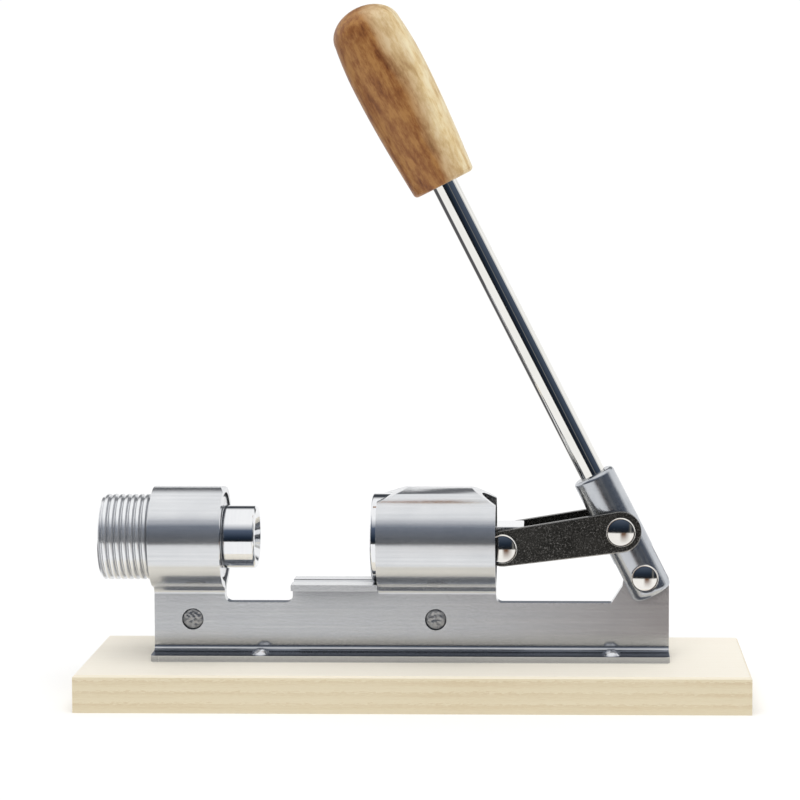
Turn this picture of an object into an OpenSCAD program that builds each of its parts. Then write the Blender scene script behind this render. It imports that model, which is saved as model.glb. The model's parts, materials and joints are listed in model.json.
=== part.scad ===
// Lever nutcracker on a wooden base.
// A screw-adjusted anvil and a lever-driven ram face each other in a frame
// made of two riveted sheet-steel pressings.
// X runs along the base from the anvil to the lever, Y runs across it, Z is up.
// The origin is the centre of the base board's underside.

/* [Base board] */
// Length of the base board
base_l = 250; // [240:1:300]
// Width of the base board
base_w = 75; // [60:1:110]
// Thickness of the base board
base_t = 14; // [12:0.5:20]
// Bevel along the board's edges
base_bevel = 0.8; // [0.4:0.1:2]

/* [Frame pressings] */
// Left end of the frame
frame_x0 = -100; // [-101:0.5:-99]
// Right end of the frame
frame_x1 = 96; // [95:0.5:97]
// Thickness of the sheet
sheet_t = 2.4; // [2.2:0.1:2.6]
// Inside radius of the bends under the tubes
bend_r = 3; // [2.5:0.1:3.2]
// Inside radius of the bend at the web's foot
foot_bend_r = 2.2; // [1.8:0.1:2.8]
// Height of the web above the base board, where nothing stands on it
web_h = 20.8; // [19:0.1:22]
// Reach of each foot flange from the middle plane
flange_reach = 13.6; // [13:0.1:16]
// Radius of the inside corners of the cut-outs
cut_r = 2.5; // [1.5:0.1:3]

/* [Tubes and nut shelf] */
// Height of the common axis of anvil and ram above the base board
axis_rise = 45.6; // [45.3:0.1:46]
// Radius of the bore that the two halves form
bore_r = 16.9; // [16.7:0.1:17.1]
// Length of the adjuster's tube
tube_l = 27; // [25:0.5:28]
// Left end of the nut shelf
shelf_x0 = -47.2; // [-50:0.2:-44]
// Left end of the ram's tube
housing_x0 = -14.5; // [-15:0.1:-14]
// Length of the ram's tube
housing_l = 44.8; // [44.2:0.1:45.2]
// Height of the nut shelf above the base board
shelf_rise = 28.8; // [27.5:0.1:29]
// Reach of the shelf from the middle plane
shelf_reach = 9.8; // [8:0.1:11]
// Inside radius of the shelf's tight bend
shelf_bend_r = 1; // [0.6:0.1:1.5]
// Length and drop of the left chamfer on the ram's tube
chamfer_left = [11.5, 4.4];
// Length and drop of the right chamfer on the ram's tube
chamfer_right = [9.3, 5.6];

/* [Pivot ear] */
// Left foot of the ear
ear_x0 = 74.1; // [73:0.1:75]
// How far the ear's left edge leans in
ear_lean = 4.3; // [3:0.1:5]
// Height of the centre of the ear's round top above the web's top
ear_rise = 6.7; // [6:0.1:7.5]

/* [Rivets and screws] */
// Radius of the three pivot rivets' shanks
rivet_r = 2.5; // [2:0.1:2.6]
// Head radius of the rivets at both ends of the links
link_head_r = 5.6; // [5:0.1:6]
// Head radius of the rivet in the frame's ear
pivot_head_r = 5.2; // [4.8:0.1:5.4]
// Height of the domed rivet heads
head_h = 1.3; // [1:0.1:1.5]
// Radius of the web rivets
web_rivet_r = 4.1; // [3.5:0.1:4.3]
// Depth of the web rivets' ends below the sheet
web_rivet_sink = 0.9; // [0.5:0.1:1.2]
// Positions of the web rivets along X
web_rivet_x = [-85.4, 7.3];
// Positions of the flange screws along X
screw_x = [-58.8, 74];
// Head radius of the flange screws
screw_head_r = 3.6; // [3:0.1:3.6]
// Shank radius of the flange screws
screw_r = 1.8; // [1.6:0.1:2]

/* [Adjuster and anvil] */
// Left end of the threaded bush
bush_x0 = -119.4; // [-120:0.1:-116]
// Length of the threaded bush
bush_l = 45.8; // [45:0.1:46.5]
// Pitch of the thread
thread_pitch = 2.5; // [2:0.25:3]
// Depth of the thread
thread_depth = 1.1; // [0.8:0.1:1.3]
// Outside radius of the anvil cup
cup_r = 12; // [11.5:0.1:12.5]
// Length of the anvil cup in front of the bush
cup_l = 12.8; // [11:0.1:14]
// Depth of the anvil's conical cup
cup_depth = 6; // [5.5:0.1:7]
// Radius of the anvil's shank inside the bush
shank_r = 7; // [6:0.1:8]

/* [Ram] */
// Left face of the ram
ram_x0 = -16.8; // [-17.2:0.1:-16.4]
// Length of the ram's round body
ram_l = 32.8; // [31:0.1:33.5]
// Depth of the ram's conical cup
ram_cup_depth = 7; // [6:0.1:8]
// Right end of the ram's flat tail
tail_x1 = 41; // [40.5:0.1:41.5]

/* [Linkage] */
// Position of the lever's pivot along X
pivot_x = 86.6; // [86.4:0.1:86.8]
// Height of the lever's pivot above the base board
pivot_rise = 31.3; // [31.1:0.1:31.5]
// Distance on the lever from its pivot to the links
crank_l = 20.2; // [20:0.1:20.4]
// Length of the links between their rivets
link_l = 45; // [44.8:0.1:45.2]
// Thickness of each link
link_t = 2.4; // [2:0.1:2.6]
// End radius of the links at the ram
link_r0 = 6.8; // [6.5:0.1:7]
// End radius of the links at the lever
link_r1 = 7.8; // [7:0.1:8]
// Drop of the ram's pivot below the ram's axis
link_drop = 2.7; // [2.5:0.1:2.9]

/* [Lever] */
// Lean of the lever to the left of upright
lever_lean = 27; // [25:0.5:29]
// Radius of the lever socket
socket_r = 8.15; // [8:0.05:8.5]
// Length of the socket above its pivot
socket_up = 43.2; // [42:0.2:45]
// Length of the socket below its pivot
socket_down = 7.8; // [7.5:0.1:8.5]
// Rounding of the socket's foot
socket_foot_r = 2.4; // [2:0.1:2.6]
// Radius of the lever rod
rod_r = 5; // [4.5:0.1:5.2]
// Distance from the pivot to the grip
grip_start = 166.9; // [150:0.1:180]
// Length of the grip
grip_l = 74; // [70:1:90]
// Radius of the grip at its lower end
grip_r0 = 12.4; // [11:0.1:13]
// Largest radius of the grip
grip_r1 = 14.6; // [14:0.1:16]

/* [Hidden] */
$fn = 72;

fit = 0.05;                     // radial clearance of a running fit
side_gap = 0.2;                 // gap between the flat faces of moving pieces
past = 1;                       // how far a cutter runs past a face

// frame
frame_l = frame_x1 - frame_x0;
axis_z = base_t + axis_rise;
tube_r = bore_r + sheet_t;
flange_z = base_t + sheet_t;
web_z0 = flange_z + foot_bend_r;
web_z1 = base_t + web_h;
bend_y = sheet_t + bend_r;
foot_bend_y = sheet_t + foot_bend_r;
bend_z = axis_z - sqrt(pow(tube_r + bend_r, 2) - bend_y * bend_y);
shelf_z = base_t + shelf_rise;
shelf_bend_y = sheet_t + shelf_bend_r;
shelf_bend_z = shelf_z - shelf_bend_y;
tube_x1 = frame_x0 + tube_l;
housing_x1 = housing_x0 + housing_l;
tube_top = axis_z + tube_r;
seam_nick = [1.4, 1.2];
seam_lap = 4;                   // angle by which the tube's ring runs on into the bend
ear_r = (frame_x1 - ear_x0 - ear_lean) / 2;
ear_z = web_z1 + ear_rise;
flange_corner_r = 2;

// rivets and screws
web_rivet_z = base_t + 14.3;
screw_y = (foot_bend_y + flange_reach) / 2;
screw_head_h = 2.2;
screw_l = 11;
recess_w = 0.8;
recess_l = 3.4;
recess_d = 1.1;

// anvil
bush_r = bore_r - 0.6;
bush_x1 = bush_x0 + bush_l;
thread_land = 0.9;              // flat width of a crest
clip_t = 1.2;
clip_x0 = bush_x0 + 5;
clip_seat_x = clip_x0 + clip_t + side_gap;
clip_seat_r = 11;
shank_x0 = bush_x0 + 2;
groove_d = 0.9;
cup_x0 = bush_x1 + side_gap / 2;
cup_x1 = cup_x0 + cup_l;
cup_rim = 1.2;
cup_floor_r = 4.6;

// ram
ram_r = bore_r - 0.08;
ram_x1 = ram_x0 + ram_l;
ram_rim = 1.8;
ram_floor_r = 6.5;
tail_y = socket_r;
tail_z0 = axis_z - 8.2;
tail_z1 = axis_z + 5.3;

// linkage: O is the lever's pivot, A joins lever and links, B joins links and ram
o_z = base_t + pivot_rise;
a_x = pivot_x - crank_l * sin(lever_lean);
a_z = o_z + crank_l * cos(lever_lean);
b_z = axis_z - link_drop;
link_rise = asin((a_z - b_z) / link_l);
b_x = a_x - link_l * cos(link_rise);
link_y = socket_r + side_gap;
outer_y = link_y + link_t;

// lever, built upright on its pivot
slot_y = sheet_t + side_gap;
slot_top = 9;
spot_r = pivot_head_r + 0.3;    // seat for the pivot rivet's head
spot_y = 7.2;
// The pivot between links and socket has a long hole, because the links' turn
// is a constant share of the lever's turn.
long_hole = [-0.3, 2.8];
long_hole_r = rivet_r + 0.65;
socket_edge_r = 1.5;
rod_seat = 28;
rod_end = grip_start + 50;
grip_edge_r = 1.5;
grip_end = grip_start + grip_l;
grip_belly = 0.72;              // where along the grip it is thickest
grip_taper = 1.2;               // how much it thins again above the belly
grip_dome = 9;                  // height of the domed end
grip_side_l = grip_l - grip_dome - grip_edge_r;
grip_steps = 14;

// ---------- helpers ----------

// Extrudes a section drawn in (Y, Z) from x0 to x1
module along_x(x0, x1) {
    translate([x0, 0, 0]) rotate([90, 0, 90]) linear_extrude(x1 - x0) children();
}

// Extrudes an outline drawn in (X, Z) from y0 to y1
module along_y(y0, y1) {
    translate([0, y1, 0]) rotate([90, 0, 0]) linear_extrude(y1 - y0) children();
}

// Turns a profile of (radius, X) points about the common axis of anvil and ram
module turned(points) {
    translate([0, 0, axis_z]) rotate([0, 90, 0]) rotate_extrude() polygon(points);
}

// A cylinder across the frame, centred on Y = 0
module cross_pin(x, z, r, half_l) {
    translate([x, 0, z]) rotate([90, 0, 0]) cylinder(r = r, h = 2 * half_l, center = true);
}

// Ring of sheet around a bend's centre, with the inside radius r
module bend_ring(centre, r) {
    translate(centre) difference() {
        circle(r + sheet_t);
        circle(r);
    }
}

// Points of an arc around centre, for the profiles
function arc(centre, r, from, to, steps = 8) =
    [for (i = [0:steps]) centre + r * [cos(from + (to - from) * i / steps),
                                       sin(from + (to - from) * i / steps)]];

// Domed rivet head with its flat side on Y = y0, facing away from the middle
module rivet_head(x, z, y0, r, side) {
    edge = head_h * 0.4;
    dome_r = (r * r + pow(head_h - edge, 2)) / (2 * (head_h - edge));
    span = asin(r / dome_r);
    translate([x, side * y0, z]) rotate([-90 * side, 0, 0]) rotate_extrude()
        polygon(concat([[0, 0], [r, 0]],
                       arc([0, head_h - dome_r], dome_r, 90 - span, 90)));
}

// ---------- frame ----------

// Half of a tube with the bend that leads into the web
module tube_section() {
    centre = [0, axis_z];
    bend = [bend_y, bend_z];
    reach = tube_r * 1.4;
    to_bend = (bend - centre) / norm(bend - centre);
    ring_end = asin(to_bend[0]) - seam_lap;
    difference() {
        translate(centre) circle(tube_r, $fn = 120);
        translate(centre) circle(bore_r, $fn = 120);
        translate([-reach, axis_z - reach]) square([reach, 2 * reach]);
        polygon([centre, centre + reach * [sin(ring_end), -cos(ring_end)], centre - [0, reach]]);
    }
    intersection() {
        bend_ring(bend, bend_r);
        polygon([bend, bend - [reach, 0], bend + [-reach, reach], bend - reach * to_bend]);
    }
}

// Foot flange with the bend at the web's foot
module flange_section() {
    intersection() {
        bend_ring([foot_bend_y, web_z0], foot_bend_r);
        translate([0, base_t]) square(foot_bend_y);
    }
    translate([foot_bend_y, base_t]) square([flange_reach - foot_bend_y, sheet_t]);
}

// Half of the nut shelf with the bend at the web's top
module shelf_section() {
    intersection() {
        bend_ring([shelf_bend_y, shelf_bend_z], shelf_bend_r);
        translate([0, shelf_bend_z]) square(shelf_bend_y);
    }
    translate([shelf_bend_y, shelf_z - sheet_t]) square([shelf_reach - shelf_bend_y, sheet_t]);
}

// Rounds the inside corner at (x, web_z1); side is +1 or -1
module inside_corner(x, side, r) {
    translate([x, web_z1]) difference() {
        translate([min(0, side * r), 0]) square(r);
        translate([side * r, r]) circle(r);
    }
}

// Side outline of the web, between the flange's bend and the bends above
module web_outline() {
    translate([frame_x0, web_z0]) square([frame_l, web_z1 - web_z0]);
    translate([frame_x0, web_z0]) square([tube_l, bend_z - web_z0]);
    translate([shelf_x0, web_z0]) square([housing_x0 - shelf_x0, shelf_bend_z - web_z0]);
    translate([housing_x0, web_z0]) square([housing_l, bend_z - web_z0]);
    polygon([[ear_x0, web_z1], [ear_x0 + ear_lean, ear_z], [frame_x1, ear_z], [frame_x1, web_z1]]);
    translate([frame_x1 - ear_r, ear_z]) circle(ear_r);
    inside_corner(tube_x1, 1, cut_r);
    inside_corner(shelf_x0, -1, cut_r);
    inside_corner(housing_x1, 1, cut_r);
}

// Rounded outer corner of the foot flange; side is -1 at the left end
module flange_corner(x, side) {
    translate([x, flange_reach, base_t - past]) linear_extrude(sheet_t + 2 * past) difference() {
        translate([side > 0 ? -flange_corner_r : 0, -flange_corner_r]) square(flange_corner_r + past);
        translate([-side * flange_corner_r, -flange_corner_r]) circle(flange_corner_r);
    }
}

// The pressing behind the middle plane; its mirror image is the near one
module frame_half() {
    difference() {
        union() {
            along_y(0, sheet_t) web_outline();
            along_x(frame_x0, frame_x1) flange_section();
            along_x(frame_x0, tube_x1) tube_section();
            along_x(shelf_x0, housing_x0) shelf_section();
            along_x(housing_x0, housing_x1) tube_section();
        }
        // cut corners at the top of the tubes
        along_y(-past, tube_r + past) {
            polygon([[tube_x1 - seam_nick[0], tube_top], [tube_x1, tube_top - seam_nick[1]],
                     [tube_x1 + past, tube_top + past], [tube_x1 - seam_nick[0], tube_top + past]]);
            polygon([[housing_x0, tube_top - chamfer_left[1]], [housing_x0 + chamfer_left[0], tube_top],
                     [housing_x0 + chamfer_left[0], tube_top + past], [housing_x0 - past, tube_top + past],
                     [housing_x0 - past, tube_top - chamfer_left[1]]]);
            polygon([[housing_x1, tube_top - chamfer_right[1]], [housing_x1 - chamfer_right[0], tube_top],
                     [housing_x1 - chamfer_right[0], tube_top + past], [housing_x1 + past, tube_top + past],
                     [housing_x1 + past, tube_top - chamfer_right[1]]]);
        }
        flange_corner(frame_x0, -1);
        flange_corner(frame_x1, 1);
        for (x = web_rivet_x) cross_pin(x, web_rivet_z, web_rivet_r, sheet_t + past);
        cross_pin(pivot_x, o_z, rivet_r, sheet_t + past);
        for (x = screw_x) translate([x, screw_y, base_t - past])
            cylinder(r = screw_r, h = sheet_t + 2 * past);
    }
}

module frame_far() color("lightsteelblue") frame_half();

module frame_near() color("lightsteelblue") mirror([0, 1, 0]) frame_half();

module web_rivets() color("slategray")
    for (x = web_rivet_x) cross_pin(x, web_rivet_z, web_rivet_r, sheet_t - web_rivet_sink);

// Pan-head wood screw with a cross recess, standing on z = 0
module pan_screw() {
    dome_r = (pow(screw_head_r, 2) + pow(screw_head_h, 2)) / (2 * screw_head_h);
    low = asin((dome_r - screw_head_h) / dome_r);
    difference() {
        rotate_extrude() polygon(concat([[0, -screw_l], [screw_r, -screw_l + 2 * screw_r], [screw_r, 0]],
                                        arc([0, screw_head_h - dome_r], dome_r, low, 90)));
        for (turn = [0, 90]) rotate(turn)
            translate([-recess_l / 2, -recess_w / 2, screw_head_h - recess_d])
                cube([recess_l, recess_w, screw_head_h]);
    }
}

module at_screws() {
    for (x = screw_x, side = [-1, 1]) translate([x, side * screw_y, 0]) children();
}

module flange_screws() color("silver") at_screws() translate([0, 0, flange_z]) pan_screw();

module base_board() color("wheat") difference() {
    // bevelled plank: two crossed extrusions keep every face flat
    intersection() {
        along_x(-base_l / 2, base_l / 2) board_section(base_w);
        rotate(90) along_x(-base_w / 2, base_w / 2) board_section(base_l);
    }
    at_screws() translate([0, 0, flange_z - screw_l]) cylinder(r = screw_r, h = screw_l);
}

// End view of a plank of width w with bevelled top edges
module board_section(w) {
    h = w / 2;
    polygon([[-h, 0], [h, 0], [h, base_t - base_bevel], [h - base_bevel, base_t],
             [base_bevel - h, base_t], [-h, base_t - base_bevel]]);
}

// ---------- adjuster and anvil ----------

// The thread stands as rings of its pitch and depth
module adjuster_screw() color("gainsboro") {
    root_r = bush_r - thread_depth;
    flank = (thread_pitch - thread_land) / 2;
    turns = floor(bush_l / thread_pitch);
    first_x = bush_x0 + 0.01;
    last_x = first_x + turns * thread_pitch;
    ring = [[0, root_r], [flank, bush_r], [flank + thread_land, bush_r]];
    difference() {
        turned(concat([[shank_r + fit, bush_x0], [root_r, bush_x0]],
                      [for (i = [0:turns - 1], p = ring) [p[1], first_x + i * thread_pitch + p[0]]],
                      [[root_r, last_x], [root_r, bush_x1], [shank_r + fit, bush_x1]]));
        turned([[0, bush_x0 - past], [clip_seat_r, bush_x0 - past],
                [clip_seat_r, clip_seat_x], [0, clip_seat_x]]);
    }
}

module anvil_cup() color("silver")
    turned([[0, shank_x0], [shank_r - 0.8, shank_x0], [shank_r, shank_x0 + 0.8],
            [shank_r, clip_x0], [shank_r - groove_d, clip_x0], [shank_r - groove_d, clip_x0 + clip_t],
            [shank_r, clip_x0 + clip_t], [shank_r, cup_x0], [cup_r, cup_x0],
            [cup_r, cup_x1 - 0.8], [cup_r - 0.8, cup_x1], [cup_r - cup_rim - 0.8, cup_x1],
            [cup_floor_r, cup_x1 - cup_depth], [0, cup_x1 - cup_depth]]);

module anvil_clip() color("dimgray") difference() {
    turned([[shank_r - groove_d, clip_x0], [shank_r + 2.2, clip_x0],
            [shank_r + 2.2, clip_x0 + clip_t], [shank_r - groove_d, clip_x0 + clip_t]]);
    // open side of the ring
    translate([clip_x0 - past, -2, axis_z]) cube([clip_t + 2 * past, 4, shank_r + 4]);
}

// ---------- ram and links ----------

module ram() color("silver") difference() {
    union() {
        turned([[0, ram_x0 + ram_cup_depth], [ram_floor_r, ram_x0 + ram_cup_depth],
                [ram_r - ram_rim, ram_x0], [ram_r - 0.6, ram_x0], [ram_r, ram_x0 + 0.6],
                [ram_r, ram_x1 - 0.8], [ram_r - 0.8, ram_x1], [0, ram_x1]]);
        translate([ram_x1 - past, -tail_y, tail_z0])
            cube([tail_x1 - ram_x1 + past, 2 * tail_y, tail_z1 - tail_z0]);
    }
    cross_pin(b_x, b_z, rivet_r, tail_y + past);
}

// Link outline with its round ends on B and A
module link_outline() {
    lean = asin((link_r1 - link_r0) / link_l);
    translate([b_x, b_z]) rotate(link_rise) polygon(concat(
        arc([0, 0], link_r0, 90 + lean, 270 - lean, 24),
        arc([link_l, 0], link_r1, lean - 90, 90 + lean, 24)));
}

module link(side) mirror([0, side > 0 ? 0 : 1, 0]) difference() {
    along_y(link_y, outer_y) link_outline();
    cross_pin(b_x, b_z, rivet_r + fit, outer_y + past);
    cross_pin(a_x, a_z, rivet_r, outer_y + past);
}

module link_near() color("darkgray") link(-1);

module link_far() color("darkgray") link(1);

// Rivet with a domed head outside each face at half_l
module pivot_pin(x, z, half_l, head_r) {
    cross_pin(x, z, rivet_r, half_l);
    for (side = [-1, 1]) rivet_head(x, z, half_l, head_r, side);
}

module ram_rivet() color("whitesmoke") pivot_pin(b_x, b_z, outer_y + side_gap, link_head_r);

module link_rivet() color("whitesmoke") pivot_pin(a_x, a_z, outer_y, link_head_r);

module pivot_rivet() color("whitesmoke") pivot_pin(pivot_x, o_z, spot_y + side_gap, pivot_head_r);

// ---------- lever ----------

// Places a piece that is drawn upright, with the pivot at its origin
module on_lever() {
    translate([pivot_x, 0, o_z]) rotate([0, -lever_lean, 0]) children();
}

module lever_socket() color("lightsteelblue") on_lever() difference() {
    rotate_extrude() polygon(concat(
        [[0, -socket_down]],
        arc([socket_r - socket_foot_r, socket_foot_r - socket_down], socket_foot_r, -90, 0),
        arc([socket_r - socket_edge_r, socket_up - socket_edge_r], socket_edge_r, 0, 90),
        [[0, socket_up]]));
    translate([0, 0, rod_seat]) cylinder(r = rod_r, h = socket_up);
    for (side = [-1, 1]) translate([0, side * (spot_y + socket_r / 2), 0]) rotate([90, 0, 0])
        cylinder(r = spot_r, h = socket_r, center = true);
    // slot over the frame's ear
    translate([-socket_r - past, -slot_y, -socket_down - past])
        cube([2 * socket_r + 2 * past, 2 * slot_y, slot_top + socket_down + past]);
    cross_pin(0, 0, rivet_r + fit, socket_r + past);
    // long hole for the link rivet
    for (v = long_hole) cross_pin(0, crank_l + v, long_hole_r, socket_r + past);
    translate([-long_hole_r, -socket_r, crank_l + long_hole[0]])
        cube([2 * long_hole_r, 2 * socket_r, long_hole[1] - long_hole[0]]);
}

module lever_rod() color("white") on_lever()
    translate([0, 0, rod_seat]) cylinder(r = rod_r, h = rod_end - rod_seat);

// Radius of the grip at the share t of its length: a barrel, thickest at its belly
function grip_r(t) = grip_r0 + (grip_r1 - grip_r0) * sin(90 * min(1, t / grip_belly))
    - (t > grip_belly ? grip_taper * pow((t - grip_belly) / (1 - grip_belly), 2) : 0);

module lever_grip() color("burlywood") on_lever() difference() {
    rotate_extrude() polygon(concat(
        [[0, grip_start]],
        arc([grip_r(0) - grip_edge_r, grip_start + grip_edge_r], grip_edge_r, -90, 0, 4),
        [for (i = [1:grip_steps])
            [grip_r(i / grip_steps), grip_start + grip_edge_r + grip_side_l * i / grip_steps]],
        [for (i = [1:8]) [grip_r(1) * cos(90 * i / 8), grip_end - grip_dome * (1 - sin(90 * i / 8))]]));
    translate([0, 0, grip_start - past]) cylinder(r = rod_r, h = rod_end - grip_start + past);
}

base_board();
frame_near();
frame_far();
web_rivets();
flange_screws();
adjuster_screw();
anvil_cup();
anvil_clip();
ram();
ram_rivet();
link_near();
link_far();
link_rivet();
pivot_rivet();
lever_socket();
lever_rod();
lever_grip();
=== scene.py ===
import json
import math

import bmesh
import bpy
from mathutils import Matrix, Vector, noise


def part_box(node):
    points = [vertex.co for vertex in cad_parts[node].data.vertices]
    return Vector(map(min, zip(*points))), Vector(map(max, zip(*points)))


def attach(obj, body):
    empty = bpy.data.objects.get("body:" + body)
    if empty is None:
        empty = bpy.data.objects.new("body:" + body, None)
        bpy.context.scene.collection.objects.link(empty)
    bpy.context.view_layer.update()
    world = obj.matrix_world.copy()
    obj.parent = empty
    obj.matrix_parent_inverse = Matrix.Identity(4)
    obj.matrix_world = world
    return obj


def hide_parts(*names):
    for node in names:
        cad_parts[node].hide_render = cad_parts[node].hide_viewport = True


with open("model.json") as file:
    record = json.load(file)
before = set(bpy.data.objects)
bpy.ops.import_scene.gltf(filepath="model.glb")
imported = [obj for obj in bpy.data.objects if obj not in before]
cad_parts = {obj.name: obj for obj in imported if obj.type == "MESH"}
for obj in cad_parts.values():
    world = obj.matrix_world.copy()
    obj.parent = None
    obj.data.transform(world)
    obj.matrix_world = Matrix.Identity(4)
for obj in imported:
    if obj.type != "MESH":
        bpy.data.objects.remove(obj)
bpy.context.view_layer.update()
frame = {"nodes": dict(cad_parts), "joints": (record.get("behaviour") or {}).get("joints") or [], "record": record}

MM = 0.001

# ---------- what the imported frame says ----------

RECORD = frame["record"]
BODY_OF = {node: body for body, nodes in RECORD["behaviour"]["bodies"].items() for node in nodes}
SLOT_OF = {part["node"]: part["material_slot"] for part in RECORD["subparts"]}
JOINTS = {joint["name"]: joint for joint in frame["joints"]}
PITCH = 2 * math.pi * next(c["ratio"] for c in RECORD["behaviour"]["couplings"]
                           if c["follows"] == "adjuster_turn")


def middle(node):
    low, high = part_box(node)
    return (low + high) / 2


PIVOT = Vector(JOINTS["lever_swing"]["pos_m"])
CRANK = middle("link_rivet")
AXIS = Vector(JOINTS["adjuster_turn"]["pos_m"])
LEAN = math.atan2(PIVOT.x - CRANK.x, CRANK.z - PIVOT.z)
# Just above the webs' plain top edges, where the space under the links begins
OPENINGS = {opening["name"]: opening["box_m"] for opening in RECORD["physics"]["openings"]}
WEB_TOP = OPENINGS["linkage_gap"][0][2]
# The lever's own frame: origin on its pivot, Z along the rod
LEVER = Matrix.Translation(PIVOT) @ Matrix.Rotation(-LEAN, 4, "Y")


# ---------- node helpers ----------

def add(tree, kind, settings=None, **inputs):
    """A node with its settings; an input is a value or the socket that feeds it."""
    made = tree.nodes.new(kind)
    for key, value in (settings or {}).items():
        setattr(made, key, value)
    for key, value in inputs.items():
        socket = made.inputs[key.replace("_", " ")]
        if isinstance(value, bpy.types.NodeSocket):
            tree.links.new(value, socket)
        else:
            socket.default_value = value
    return made


def ramp(tree, fac, *stops):
    """Colour ramp; each stop is (position, colour)."""
    made = add(tree, "ShaderNodeValToRGB", Fac=fac)
    elements = made.color_ramp.elements
    while len(elements) < len(stops):
        elements.new(0.5)
    for element, (position, colour) in zip(elements, stops):
        element.position = position
        element.color = (*colour, 1)
    return made.outputs["Color"]


def span(tree, fac, low, high, to_low, to_high):
    """fac from low..high to to_low..to_high, clamped."""
    made = add(tree, "ShaderNodeMapRange", {"clamp": True}, Value=fac)
    for key, value in zip(("From Min", "From Max", "To Min", "To Max"), (low, high, to_low, to_high)):
        made.inputs[key].default_value = value
    return made.outputs["Result"]


def stretched(tree, scale, location=(0, 0, 0)):
    """Object coordinates in metres, multiplied by scale."""
    coordinates = add(tree, "ShaderNodeTexCoord").outputs["Object"]
    return add(tree, "ShaderNodeMapping", Vector=coordinates, Scale=scale,
               Location=location).outputs["Vector"]


def grain(tree, scale, detail=3.0, roughness=0.5):
    """Noise whose features are 1/scale metres along X, Y and Z."""
    return add(tree, "ShaderNodeTexNoise", Vector=stretched(tree, scale), Scale=1.0, Detail=detail,
               Roughness=roughness).outputs["Fac"]


def math_node(tree, operation, a, b):
    made = add(tree, "ShaderNodeMath", {"operation": operation})
    for socket, value in zip(made.inputs, (a, b)):
        if isinstance(value, bpy.types.NodeSocket):
            tree.links.new(value, socket)
        else:
            socket.default_value = value
    return made.outputs["Value"]


def mix(tree, fac, a, b):
    return add(tree, "ShaderNodeMixRGB", Fac=fac, Color1=a, Color2=b).outputs["Color"]


def bump(tree, height, distance, strength=1.0, normal=None):
    """Bump of height 0..1 over distance metres."""
    made = add(tree, "ShaderNodeBump", Height=height, Distance=distance, Strength=strength)
    if normal is not None:
        tree.links.new(normal, made.inputs["Normal"])
    return made.outputs["Normal"]


def new_material(name):
    made = bpy.data.materials.new(name)
    made.use_nodes = True
    return made, made.node_tree, made.node_tree.nodes["Principled BSDF"]


def feed(tree, shader, **sockets):
    for key, socket in sockets.items():
        tree.links.new(socket, shader.inputs[key.replace("_", " ")])


# ---------- materials ----------

def edge_wear(tree):
    """1 on worn outer edges, 0 elsewhere."""
    geometry = add(tree, "ShaderNodeNewGeometry").outputs
    rounded = add(tree, "ShaderNodeBevel", {"samples": 4}, Radius=0.5 * MM).outputs["Normal"]
    turned = add(tree, "ShaderNodeVectorMath", {"operation": "DOT_PRODUCT"})
    tree.links.new(rounded, turned.inputs[0])
    tree.links.new(geometry["Normal"], turned.inputs[1])
    return math_node(tree, "MULTIPLY", span(tree, geometry["Pointiness"], 0.51, 0.58, 0.0, 1.0),
                     span(tree, turned.outputs["Value"], 0.97, 0.998, 1.0, 0.0))


CORNER_REACH = 12 * MM                    # how far the painted corner shade spreads out of an inside corner


def in_corner(tree, reach=CORNER_REACH):
    """1 deep in an inside corner, 0 on open faces; reach in metres."""
    open_sky = add(tree, "ShaderNodeAmbientOcclusion", {"samples": 8}, Distance=reach).outputs["AO"]
    return span(tree, open_sky, 0.30, 0.85, 1.0, 0.0)


def metal(name, dull, bright, roughness, streak, grain_height, streak_scale=(12, 900, 900),
          fine_scale=(2500, 2500, 2500), streak_height=2e-6, haze=0.0, corner_shade=0.0,
          dark_reflection_below=None):
    """Plated or turned metal.

    dull and bright are its two colours, roughness is (low, high), streak is the share of brushing
    in the colour, grain_height is the depth of the fine grain in metres, haze is the share of
    light that the plating scatters and the corner-shade share is how strongly inside corners are
    painted dark, as painted shade. Faces that look up from below a given height are painted dark,
    with a dimmed specular tint, as a painted dark reflection.
    """
    made, tree, shader = new_material(name)
    brushed = grain(tree, streak_scale, 4)
    fine = grain(tree, fine_scale, 2)
    cloudy = grain(tree, (70, 70, 70), 3)
    tone = math_node(tree, "ADD", math_node(tree, "MULTIPLY", brushed, streak),
                     math_node(tree, "MULTIPLY", cloudy, 1 - streak))
    plain = ramp(tree, tone, (0.3, dull), (0.7, bright))
    if corner_shade:
        # painted shade: inside corners, found by ambient occlusion, are painted towards a blue-grey black
        corner_shade_share = math_node(tree, "MULTIPLY", in_corner(tree), corner_shade)
        plain = mix(tree, corner_shade_share, plain, (0.10, 0.11, 0.13, 1))
    if dark_reflection_below:
        # painted reflection: faces that look up from low down (the foot flanges) get a dark colour and a dimmed
        # specular tint
        geometry = add(tree, "ShaderNodeNewGeometry").outputs
        height = add(tree, "ShaderNodeSeparateXYZ", Vector=geometry["Position"]).outputs["Z"]
        upward = add(tree, "ShaderNodeSeparateXYZ", Vector=geometry["Normal"]).outputs["Z"]
        low_down = span(tree, height, dark_reflection_below, dark_reflection_below + 0.3 * MM, 0.8, 0.0)
        dark_reflection_share = math_node(tree, "MULTIPLY", low_down, span(tree, upward, 0.55, 0.75, 0.0, 1.0))
        plain = mix(tree, dark_reflection_share, plain, (0.13, 0.15, 0.19, 1))
        feed(tree, shader, Specular_Tint=mix(tree, dark_reflection_share, (1, 1, 1, 1), (0.16, 0.18, 0.22, 1)))
    worn = mix(tree, edge_wear(tree), plain, (*[min(1, c * 1.08) for c in bright], 1))
    rough = span(tree, math_node(tree, "ADD", tone, fine), 0.7, 1.3, *roughness)
    normal = bump(tree, fine, grain_height)
    feed(tree, shader, Base_Color=worn, Roughness=rough,
         Normal=bump(tree, brushed, streak_height, normal=normal))
    shader.inputs["Metallic"].default_value = 1.0 - haze
    return made


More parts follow.
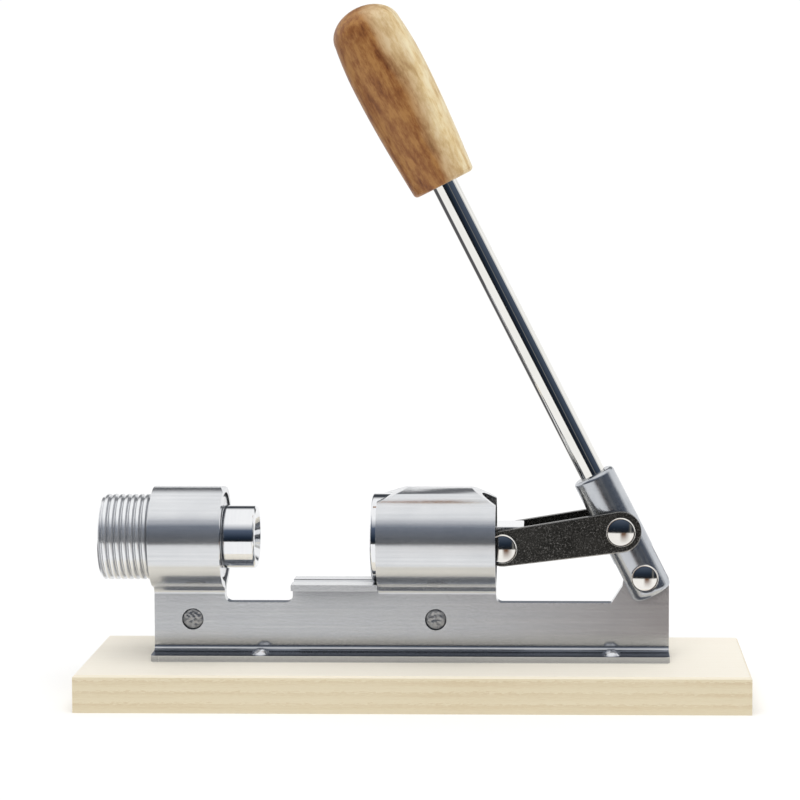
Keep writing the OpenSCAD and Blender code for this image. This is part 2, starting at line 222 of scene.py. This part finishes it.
def tumbled_nickel():
    """Dark stamped links: light grains all over and bright rolled edges."""
    made, tree, shader = new_material("tumbled_nickel")
    fine = grain(tree, (1700, 1700, 1700), 3, 0.7)
    cloudy = grain(tree, (120, 120, 120), 2)
    specks = ramp(tree, fine, (0.44, (0.042, 0.042, 0.039)), (0.57, (0.098, 0.097, 0.091)),
                  (0.70, (0.40, 0.395, 0.38)))
    shaded = mix(tree, span(tree, cloudy, 0.35, 0.65, 0.0, 0.3), specks, (0.12, 0.118, 0.11, 1))
    feed(tree, shader, Base_Color=mix(tree, edge_wear(tree), shaded, (0.72, 0.70, 0.67, 1)),
         Roughness=span(tree, fine, 0.3, 0.7, 0.20, 0.32), Normal=bump(tree, fine, 6e-6))
    shader.inputs["Metallic"].default_value = 0.92
    return made


def pine():
    """Planed pale softwood: rings about a pith below the board, long fibres, a few dark flecks."""
    made, tree, shader = new_material("pale_pine")
    rings = add(tree, "ShaderNodeTexWave",
                {"wave_type": "RINGS", "rings_direction": "X", "wave_profile": "SAW"},
                Vector=stretched(tree, (0.12, 1, 1), location=(0, -0.031, 0.047)), Scale=118.0,
                Distortion=3.5, Detail=3.0, Detail_Scale=26.0, Detail_Roughness=0.55).outputs["Fac"]
    fibres = grain(tree, (22, 850, 850), 4, 0.6)
    pores = grain(tree, (160, 4200, 4200), 2, 0.6)
    clouds = grain(tree, (9, 40, 40), 2)
    tone = math_node(tree, "ADD", math_node(tree, "MULTIPLY", rings, 0.42),
                     math_node(tree, "ADD", math_node(tree, "MULTIPLY", fibres, 0.42),
                               math_node(tree, "MULTIPLY", clouds, 0.25)))
    wood = ramp(tree, tone, (0.18, (0.85, 0.76, 0.57)), (0.55, (0.80, 0.70, 0.50)),
                (0.95, (0.68, 0.54, 0.34)))
    flecks = span(tree, pores, 0.66, 0.80, 0.0, 0.45)
    upward = add(tree, "ShaderNodeSeparateXYZ",
                 Vector=add(tree, "ShaderNodeNewGeometry").outputs["Normal"]).outputs["Z"]
    # painted light: faces that look up are painted paler than the sides, as if lit from above
    top_lit_wood = mix(tree, span(tree, upward, 0.5, 0.9, 0.0, 0.85), wood, (0.97, 0.925, 0.83, 1))
    feed(tree, shader, Base_Color=mix(tree, flecks, top_lit_wood, (0.62, 0.45, 0.26, 1)),
         Roughness=span(tree, fibres, 0.3, 0.7, 0.50, 0.66),
         Normal=bump(tree, fibres, 6e-5, normal=bump(tree, pores, 2e-5)))
    shader.inputs["Specular IOR Level"].default_value = 0.5
    return made


def grip_wood():
    """Turned and waxed hardwood, mottled; one side is painted pale and the other dark brown, as painted light from
    one side.
    """
    made, tree, shader = new_material("honey_wood")
    mottle = grain(tree, (260, 260, 120), 5, 0.66)
    streaks = grain(tree, (420, 420, 34), 4, 0.6)
    pores = grain(tree, (1900, 1900, 260), 3, 0.6)
    tone = math_node(tree, "ADD", math_node(tree, "MULTIPLY", mottle, 0.58),
                     math_node(tree, "ADD", math_node(tree, "MULTIPLY", streaks, 0.27),
                               math_node(tree, "MULTIPLY", pores, 0.15)))
    shaded_side_wood = ramp(tree, tone, (0.36, (0.15, 0.045, 0.012)), (0.45, (0.27, 0.100, 0.026)),
                 (0.56, (0.43, 0.205, 0.060)))
    lit_side_wood = ramp(tree, tone, (0.36, (0.58, 0.37, 0.15)), (0.47, (0.80, 0.61, 0.32)),
               (0.58, (0.92, 0.79, 0.52)))
    # painted light: the grip's local +X side is painted pale and the other side dark brown, standing in for light
    # from one side
    side = add(tree, "ShaderNodeSeparateXYZ", Vector=stretched(tree, (1, 1, 1))).outputs["X"]
    wander = math_node(tree, "MULTIPLY", grain(tree, (90, 90, 30), 3), 0.014)
    lit_side_share = span(tree, math_node(tree, "ADD", side, wander), 0.008, 0.018, 0.0, 1.0)
    feed(tree, shader, Base_Color=mix(tree, lit_side_share, shaded_side_wood, lit_side_wood),
         Roughness=span(tree, pores, 0.3, 0.7, 0.36, 0.52),
         Normal=bump(tree, pores, 4e-5, normal=bump(tree, streaks, 5e-5)))
    shader.inputs["Specular IOR Level"].default_value = 0.35
    shader.inputs["Coat Weight"].default_value = 0.08
    shader.inputs["Coat Roughness"].default_value = 0.25
    return made


MATERIALS = {
    "pine": pine(),
    "grip_wood": grip_wood(),
    "frame_steel": metal(
        "zinc_plated_sheet", dull=(0.64, 0.655, 0.68), bright=(0.78, 0.79, 0.805), roughness=(0.14, 0.22),
        streak=0.6, grain_height=8e-6, fine_scale=(1300, 1300, 1300), haze=0.14, corner_shade=0.8,
        dark_reflection_below=WEB_TOP),
    "rivet_steel": metal(
        "clinched_steel", dull=(0.42, 0.43, 0.45), bright=(0.70, 0.71, 0.73), roughness=(0.30, 0.50),
        streak=0.3, grain_height=2e-5, fine_scale=(1400, 1400, 1400), corner_shade=0.8),
    "screw_steel": metal(
        "zinc_plated_screw", dull=(0.70, 0.71, 0.74), bright=(0.86, 0.87, 0.89), roughness=(0.14, 0.26),
        streak=0.3, grain_height=4e-6),
    "turned_aluminium": metal(
        "turned_aluminium", dull=(0.80, 0.81, 0.83), bright=(0.92, 0.93, 0.95), roughness=(0.14, 0.24),
        streak=0.7, grain_height=1e-6, streak_scale=(5000, 90, 90), streak_height=1e-6, haze=0.22,
        corner_shade=0.35),
    "bright_chrome": metal(
        "polished_chrome", dull=(0.83, 0.84, 0.86), bright=(0.90, 0.91, 0.92), roughness=(0.05, 0.12),
        streak=0.4, grain_height=4e-7, streak_scale=(2500, 60, 60), streak_height=3e-7),
    "spring_steel": metal(
        "blackened_steel", dull=(0.10, 0.10, 0.11), bright=(0.18, 0.18, 0.19), roughness=(0.35, 0.5),
        streak=0.3, grain_height=3e-6),
    "rivet_nickel": metal(
        "polished_nickel", dull=(0.80, 0.78, 0.74), bright=(0.90, 0.88, 0.84), roughness=(0.06, 0.13),
        streak=0.2, grain_height=6e-7, streak_height=2e-7),
    "link_nickel": tumbled_nickel(),
    "socket_steel": metal(
        "zinc_plated_socket", dull=(0.44, 0.46, 0.50), bright=(0.60, 0.62, 0.65), roughness=(0.17, 0.26),
        streak=0.3, grain_height=9e-6, streak_scale=(300, 300, 20), fine_scale=(1400, 1400, 1400),
        haze=0.07),
    "rod_chrome": metal(
        "drawn_chrome", dull=(0.82, 0.81, 0.77), bright=(0.90, 0.89, 0.86), roughness=(0.03, 0.07),
        streak=0.3, grain_height=2e-7, streak_scale=(900, 900, 10), streak_height=2e-7),
}


# ---------- mesh helpers ----------

def link_mesh(name, mesh, place=Matrix.Identity(4)):
    made = bpy.data.objects.new(name, mesh)
    bpy.context.scene.collection.objects.link(made)
    made.matrix_world = place
    return made


def from_bmesh(name, bm, place=Matrix.Identity(4)):
    bmesh.ops.recalc_face_normals(bm, faces=bm.faces)
    mesh = bpy.data.meshes.new(name)
    bm.to_mesh(mesh)
    bm.free()
    return link_mesh(name, mesh, place)


def apply_modifiers(piece):
    graph = bpy.context.evaluated_depsgraph_get()
    mesh = bpy.data.meshes.new_from_object(piece.evaluated_get(graph))
    piece.modifiers.clear()
    piece.data = mesh


def smooth(piece, angle=35):
    """Smooth shading, with edges sharper than the angle kept crisp."""
    bm = bmesh.new()
    bm.from_mesh(piece.data)
    for face in bm.faces:
        face.smooth = True
    for edge in bm.edges:
        edge.smooth = len(edge.link_faces) == 2 and edge.calc_face_angle(0) < math.radians(angle)
    bm.to_mesh(piece.data)
    bm.free()


def soften(piece, width, segments=3, angle=32):
    """Rounds every edge sharper than the angle."""
    rounding = piece.modifiers.new("rounded_edges", "BEVEL")
    rounding.width = width
    rounding.segments = segments
    rounding.limit_method = "ANGLE"
    rounding.angle_limit = math.radians(angle)
    rounding.use_clamp_overlap = True
    apply_modifiers(piece)
    keep_flats(piece)


def keep_flats(piece, angle=40):
    """Corner normals that follow the widest flat area, so flats stay flat beside rounded edges."""
    bm = bmesh.new()
    bm.from_mesh(piece.data)
    bm.faces.ensure_lookup_table()
    area = [0.0] * len(bm.faces)
    for start in bm.faces:
        if area[start.index]:
            continue
        flat = [start]
        seen = {start.index}
        for face in flat:
            for edge in face.edges:
                for other in edge.link_faces:
                    if other.index not in seen and face.normal.angle(other.normal, 1) < 0.002:
                        seen.add(other.index)
                        flat.append(other)
        total = sum(face.calc_area() for face in flat)
        for face in flat:
            area[face.index] = max(total, 1e-12)
    limit = math.cos(math.radians(angle))
    normals = []
    for face in bm.faces:
        face.smooth = True
        for corner in face.loops:
            normal = Vector((0, 0, 0))
            for other in corner.vert.link_faces:
                if other.normal.dot(face.normal) > limit:
                    normal += other.normal * area[other.index] ** 1.5
            normals.append(normal.normalized() if normal.length else face.normal.copy())
    bm.to_mesh(piece.data)
    bm.free()
    piece.data.normals_split_custom_set(normals)


def stand_for(piece, node):
    """The piece rides, finishes and shows in place of the CAD node."""
    piece.data.materials.clear()
    piece.data.materials.append(MATERIALS[SLOT_OF[node]])
    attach(piece, BODY_OF[node])
    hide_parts(node)
    return piece


def refined(node, name, width, segments=3):
    """The CAD node's shape with its flat faces merged and its edges rounded."""
    bm = bmesh.new()
    bm.from_mesh(frame["nodes"][node].data)
    bmesh.ops.remove_doubles(bm, verts=bm.verts, dist=1e-6)
    bmesh.ops.dissolve_limit(bm, angle_limit=math.radians(0.8), verts=bm.verts, edges=bm.edges)
    piece = from_bmesh(name, bm)
    soften(piece, width, segments)
    return stand_for(piece, node)


def lathe(name, outline, place, steps=96):
    """Turns (radius, height) points about local Z; points on the axis close the shape."""
    bm = bmesh.new()
    rings = []
    for radius, height in outline:
        rings.append([bm.verts.new((radius * math.cos(2 * math.pi * i / steps),
                                    radius * math.sin(2 * math.pi * i / steps), height))
                      for i in range(steps)])
    for low, high in zip(rings, rings[1:]):
        for i in range(steps):
            j = (i + 1) % steps
            bm.faces.new((low[i], low[j], high[j], high[i]))
    bmesh.ops.remove_doubles(bm, verts=bm.verts, dist=1e-7)
    return from_bmesh(name, bm, place)


def arc(centre, radius, start, end, steps=8):
    """(radius, height) points of an arc, in degrees."""
    return [(centre[0] + radius * math.cos(math.radians(start + (end - start) * i / steps)),
             centre[1] + radius * math.sin(math.radians(start + (end - start) * i / steps)))
            for i in range(steps + 1)]


def joined(name, pieces):
    """One object out of several that lie at the origin."""
    bm = bmesh.new()
    for piece in pieces:
        piece.data.transform(piece.matrix_world)
        bm.from_mesh(piece.data)
        bpy.data.objects.remove(piece)
    return from_bmesh(name, bm)


# ---------- camera, light and floor ----------

def make_camera():
    data = bpy.data.cameras.new("camera")
    camera = bpy.data.objects.new("camera", data)
    bpy.context.scene.collection.objects.link(camera)
    camera.location = (0.0516, -0.9373, 0.2086)
    camera.rotation_euler = (math.radians(90 - 3.29), 0, math.radians(0.935))
    data.sensor_width = 36
    data.lens = 111.6
    data.shift_x = -0.14
    data.shift_y = -0.14
    data.clip_start = 0.01
    bpy.context.scene.camera = camera


def make_world():
    """White room for the picture and for diffuse light; metal reflects a studio of its own.

    The studio is white with a dark opening on the viewer's side, so round metal shows a dark
    band with a sharp lower edge and a post in it. A second dark patch lies low down behind on
    the left, a warm brown one low down on the viewer's side, a thin grey edge on the right and
    a second opening high up on the far side.
    """
    world = bpy.data.worlds.new("studio")
    bpy.context.scene.world = world
    world.use_nodes = True
    tree = world.node_tree
    direction = add(tree, "ShaderNodeTexCoord").outputs["Generated"]
    x, y, z = add(tree, "ShaderNodeSeparateXYZ", Vector=direction).outputs

    def patch(*masks):
        covered = masks[0]
        for mask in masks[1:]:
            covered = math_node(tree, "MULTIPLY", covered, mask)
        return covered

    opening = patch(span(tree, y, -0.12, -0.02, 1, 0), span(tree, z, -0.172, -0.160, 0, 1),
                    span(tree, z, 0.52, 0.84, 1, 0))
    corner = patch(span(tree, x, -0.62, -0.48, 1, 0), span(tree, y, -0.10, 0.02, 0, 1),
                   span(tree, z, -0.22, -0.12, 1, 0))
    dusk = ramp(tree, span(tree, z, -0.2, 0.8, 0, 1), (0.05, (0.008, 0.009, 0.010)),
                (0.30, (0.016, 0.026, 0.045)), (0.80, (0.10, 0.13, 0.19)))
    studio = mix(tree, opening, (1.0, 1.0, 1.0, 1), dusk)
    warm = patch(span(tree, x, -0.04, 0.07, 0, 1), span(tree, x, 0.20, 0.42, 1, 0),
                 span(tree, y, -0.4, -0.2, 1, 0), span(tree, z, -0.62, -0.22, 0, 1),
                 span(tree, z, -0.172, -0.160, 1, 0))
    post = patch(opening, span(tree, x, 0.40, 0.42, 0, 1), span(tree, x, 0.48, 0.50, 1, 0))
    side = patch(span(tree, x, 0.30, 0.50, 0, 1), span(tree, y, -0.02, 0.02, 0, 1),
                 span(tree, y, 0.08, 0.12, 1, 0))
    far = patch(span(tree, y, 0.55, 0.75, 0, 1), span(tree, z, 0.30, 0.40, 0, 1),
                span(tree, z, 0.70, 0.88, 1, 0))
    studio = mix(tree, corner, studio, (0.10, 0.10, 0.11, 1))
    studio = mix(tree, warm, studio, (0.17, 0.085, 0.045, 1))
    studio = mix(tree, post, studio, (0.17, 0.17, 0.165, 1))
    studio = mix(tree, far, studio, (0.05, 0.055, 0.065, 1))
    studio = mix(tree, side, studio, (0.50, 0.50, 0.49, 1))
    ambient = span(tree, z, 0.0, 1.0, 0.18, 0.95)
    rays = add(tree, "ShaderNodeLightPath").outputs
    room = mix(tree, rays["Is Camera Ray"], ambient, (1.03, 1.03, 1.03, 1))
    seen = mix(tree, rays["Is Glossy Ray"], room, studio)
    tree.links.new(seen, tree.nodes["Background"].inputs["Color"])


def make_sun():
    """Large soft light from above, a little from the viewer's side."""
    data = bpy.data.lights.new("soft_top_light", "SUN")
    data.energy = 1.30
    data.angle = math.radians(60)
    lamp = bpy.data.objects.new("soft_top_light", data)
    bpy.context.scene.collection.objects.link(lamp)
    lamp.rotation_euler = Vector((0.02, -0.36, 1)).to_track_quat("Z", "Y").to_euler()
    lamp.visible_glossy = False


def make_floor():
    """Plain white floor, left out of the metal's reflections."""
    bm = bmesh.new()
    bmesh.ops.create_grid(bm, x_segments=1, y_segments=1, size=6.0)
    floor = from_bmesh("floor", bm)
    made, tree, shader = new_material("white_sweep")
    shader.inputs["Base Color"].default_value = (0.97, 0.97, 0.97, 1)
    shader.inputs["Roughness"].default_value = 0.9
    shader.inputs["Specular IOR Level"].default_value = 0.0
    floor.data.materials.append(made)
    floor.visible_glossy = False


bpy.context.scene.view_settings.view_transform = "Standard"
make_camera()
make_world()
make_sun()
make_floor()


# ---------- pieces ----------

def threaded_bush():
    """The adjuster with a true helical thread, chamfered ends and a counterbored left end."""
    low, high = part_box("adjuster_screw")
    outer = (high.z - low.z) / 2
    root = outer - 1.15 * MM
    steps = 96
    crest = 0.38                          # share of the pitch that a crest takes
    cut = [(0.00, root), (0.06, root), (0.30, outer - 0.06 * MM), (0.35, outer),
           (0.30 + crest, outer), (0.35 + crest, outer - 0.06 * MM), (0.94, root)]
    chamfer = 1.0 * MM
    inner = 7.1 * MM
    bore = 11.0 * MM
    seat = low.x + 6.4 * MM

    def thread_radius(x, radius):
        return min(radius, outer - chamfer + (x - low.x), outer - chamfer + (high.x - x))

    bm = bmesh.new()
    turns = math.ceil((high.x - low.x) / PITCH) + 1
    grid = []
    for turn in range(-1, turns):
        for share, radius in cut:
            row = []
            for j in range(steps):
                x = low.x + (turn + share + j / steps) * PITCH
                x = min(max(x, low.x), high.x)
                row.append((x, thread_radius(x, radius)))
            grid.append(row)
    inside = [(high.x, inner + 0.5 * MM), (high.x - 0.5 * MM, inner), (seat, inner), (seat, bore),
              (low.x + 0.6 * MM, bore), (low.x, bore + 0.6 * MM)]
    grid += [[point] * steps for point in inside]
    angles = [2 * math.pi * j / steps for j in range(steps)]
    rings = [[bm.verts.new((x, r * math.cos(angle), AXIS.z + r * math.sin(angle)))
              for angle, (x, r) in zip(angles, row)] for row in grid]
    threads = len(grid) - len(inside)
    ahead = len(cut)
    for k in range(len(rings)):
        for j in range(steps):
            corners = []
            for row, column in ((k, j), (k, j + 1), (k + 1, j + 1), (k + 1, j)):
                # a full turn of the thread comes back one pitch further on
                if column == steps:
                    column = 0
                    if row < threads:
                        row = min(row + ahead, threads - 1)
                corners.append(rings[row % len(rings)][column])
            if len(set(corners)) == 4:
                bm.faces.new(corners)
    bmesh.ops.remove_doubles(bm, verts=bm.verts, dist=2e-6)
    bmesh.ops.dissolve_degenerate(bm, dist=1e-6, edges=bm.edges)
    piece = from_bmesh("adjuster_thread", bm)
    smooth(piece, 28)
    return stand_for(piece, "adjuster_screw")


def rivet_outline(shank, half, head, height):
    """Half outline of a rivet from its middle to one head, along +Z: a rounded rim and a dome."""
    rim = 0.42 * MM
    rise = height - rim
    foot = head - 0.55 * rim
    dome = (foot * foot + rise * rise) / (2 * rise)
    reach = math.degrees(math.asin(foot / dome))
    return ([(shank, 0), (shank, half), (head - 0.2 * MM, half)]
            + arc((head - rim, half + rim * 0.6), rim, -40, 62, 10)
            + arc((0, half + height - dome), dome, 90 - reach * 0.93, 90, 18))


def rivet(node, name):
    """Pivot rivet across the frame with a domed head at both ends."""
    centre = middle(node)
    low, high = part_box(node)
    head = (high.z - low.z) / 2
    shank, height = 2.5 * MM, 1.3 * MM
    outline = rivet_outline(shank, half_width(node) - height, head, height)
    halves = []
    for side in (-1, 1):
        place = Matrix.Translation(centre) @ Matrix.Rotation(side * math.pi / 2, 4, "X")
        halves.append(lathe(f"half_{len(halves)}", outline, place, 72))
    piece = joined(name, halves)
    bm = bmesh.new()
    bm.from_mesh(piece.data)
    bmesh.ops.remove_doubles(bm, verts=bm.verts, dist=1e-6)
    bm.to_mesh(piece.data)
    bm.free()
    smooth(piece, 40)
    return stand_for(piece, node)


def half_width(node):
    low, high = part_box(node)
    return (high.y - low.y) / 2


def link(node, name):
    """Stamped link: the CAD outline with rolled edges."""
    return refined(node, name, 0.45 * MM, 4)


def web_rivets():
    """Clinched rivet ends: rough, slightly dished faces that sit below the sheet."""
    low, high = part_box("web_rivets")
    radius = (high.z - low.z) / 2
    ends = []
    for x in (low.x + radius, high.x - radius):
        for side in (-1, 1):
            face = side * (high.y + 0.1 * MM)
            outline = [(0.0, 0.0)] + [(radius * i / 12, 0.0) for i in range(1, 12)]
            outline += [(radius - 0.25 * MM, -0.05 * MM), (radius, -0.35 * MM), (radius, -high.y)]
            place = (Matrix.Translation((x, face, (low.z + high.z) / 2))
                     @ Matrix.Rotation(-side * math.pi / 2, 4, "X"))
            end = lathe(f"end_{len(ends)}", outline, place, 48)
            for vertex in end.data.vertices:
                spread = math.hypot(vertex.co.x, vertex.co.y)
                if spread < radius - 0.1 * MM:
                    rough = noise.fractal(Vector((vertex.co.x, vertex.co.y, x)) * 900, 1.0, 2.0, 3)
                    vertex.co.z += 0.22 * MM * rough + 0.10 * MM * math.cos(3 * spread / radius)
            ends.append(end)
    piece = joined("clinched_rivets", ends)
    smooth(piece, 45)
    return stand_for(piece, "web_rivets")


def rod():
    """Drawn bar with small chamfers."""
    radius = half_width("lever_rod")
    to_lever = LEVER.inverted()
    heights = [(to_lever @ v.co).z for v in frame["nodes"]["lever_rod"].data.vertices]
    low, high = min(heights), max(heights)
    ease = 0.5 * MM
    outline = [(0, low), (radius - ease, low), (radius, low + ease),
               (radius, high - ease), (radius - ease, high), (0, high)]
    piece = lathe("chromed_rod", outline, LEVER, 96)
    smooth(piece, 30)
    return stand_for(piece, "lever_rod")


def grip():
    """Turned grip: rounded foot with a small recess round the rod, full belly and domed top."""
    to_lever = LEVER.inverted()
    points = [to_lever @ v.co for v in frame["nodes"]["lever_grip"].data.vertices]
    low, high = min(p.z for p in points), max(p.z for p in points)
    belly = max(math.hypot(p.x, p.y) for p in points)
    foot = max(math.hypot(p.x, p.y) for p in points if p.z < low + 2 * MM)
    hole = half_width("lever_rod")
    length = high - low
    dome = 10 * MM
    edge = 1.6 * MM
    outline = [(hole + 0.05 * MM, low + 12 * MM), (hole + 0.05 * MM, low + 0.4 * MM),
               (hole + 0.5 * MM, low)]
    outline += arc((foot - edge, low + edge), edge, -90, -10, 6)
    thickest = 0.72                       # share of the side's length below the belly
    side_steps, dome_steps = 28, 14
    for i in range(1, side_steps + 1):
        share = i / side_steps
        swell = math.sin(math.radians(90) * min(1, share / thickest))
        thin = 1.2 * MM * max(0, (share - thickest) / (1 - thickest)) ** 2
        outline.append((foot + (belly - foot) * swell - thin, low + edge + (length - dome - edge) * share))
    top = outline[-1][0]
    for i in range(1, dome_steps + 1):
        angle = math.radians(90 * i / dome_steps)
        outline.append((top * math.cos(angle), high - dome * (1 - math.sin(angle))))
    piece = lathe("turned_grip", outline, LEVER, 96)
    smooth(piece, 50)
    return stand_for(piece, "lever_grip")


refined("base_board", "pine_board", 0.5 * MM, 3)
refined("frame_near", "near_pressing", 0.4 * MM, 3)
refined("frame_far", "far_pressing", 0.4 * MM, 3)
refined("flange_screws", "pan_head_screws", 0.12 * MM, 2)
refined("anvil_cup", "anvil_cup_turned", 0.25 * MM, 3)
refined("anvil_clip", "retaining_ring", 0.12 * MM, 2)
refined("ram", "ram_turned", 0.3 * MM, 3)
refined("lever_socket", "slotted_socket", 0.4 * MM, 3)
link("link_near", "near_link")
link("link_far", "far_link")
rivet("ram_rivet", "ram_pin")
rivet("link_rivet", "link_pin")
rivet("pivot_rivet", "pivot_pin")
threaded_bush()
web_rivets()
rod()
grip()
